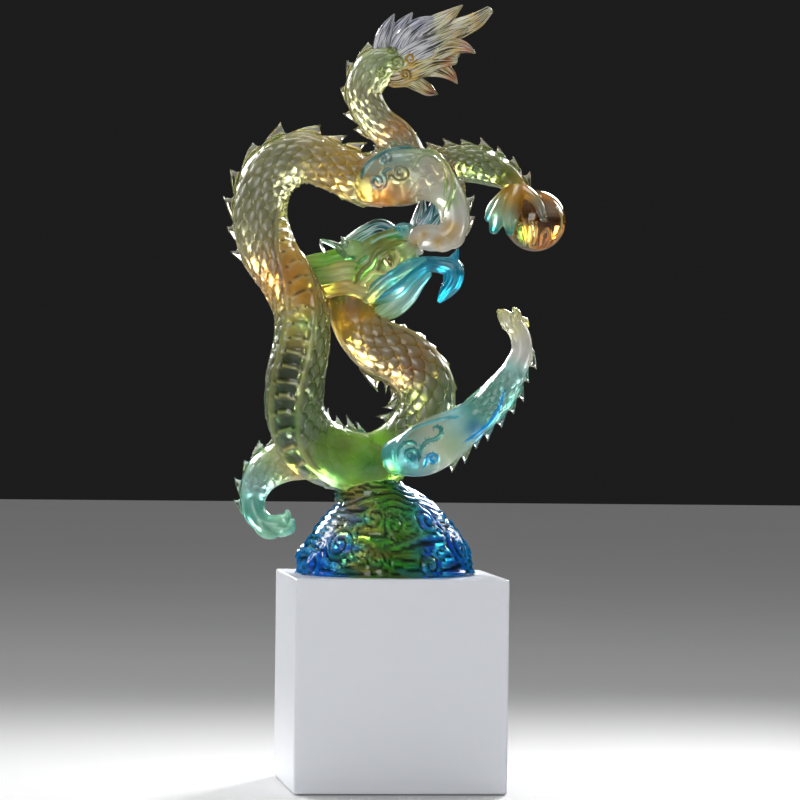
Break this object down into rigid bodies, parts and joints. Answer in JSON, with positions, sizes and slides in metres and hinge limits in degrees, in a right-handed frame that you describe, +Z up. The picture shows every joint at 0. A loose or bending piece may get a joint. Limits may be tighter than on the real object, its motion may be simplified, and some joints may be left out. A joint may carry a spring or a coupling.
{
  "type": "dragon sculpture",
  "caption": "Coloured cast-glass dragon coiled above a domed cloud mound, holding a pearl, resting on a white square block plinth.",
  "frame": {"origin": "centre of the plinth's underside", "axes": "+Z up, -Y out of the plinth's front face, +X to the viewer's right"},
  "size_m": [0.2279, 0.14, 0.5187],
  "materials": {
    "coloured_glass": "frosted cast glass shading from amber through green to blue, polished on the mound, pearl and tail tuft",
    "white_lacquer": "smooth satin white lacquer"
  },
  "bodies": {
    "root": {"dragon": "coloured_glass", "plinth": "white_lacquer"}
  },
  "joints": []
}
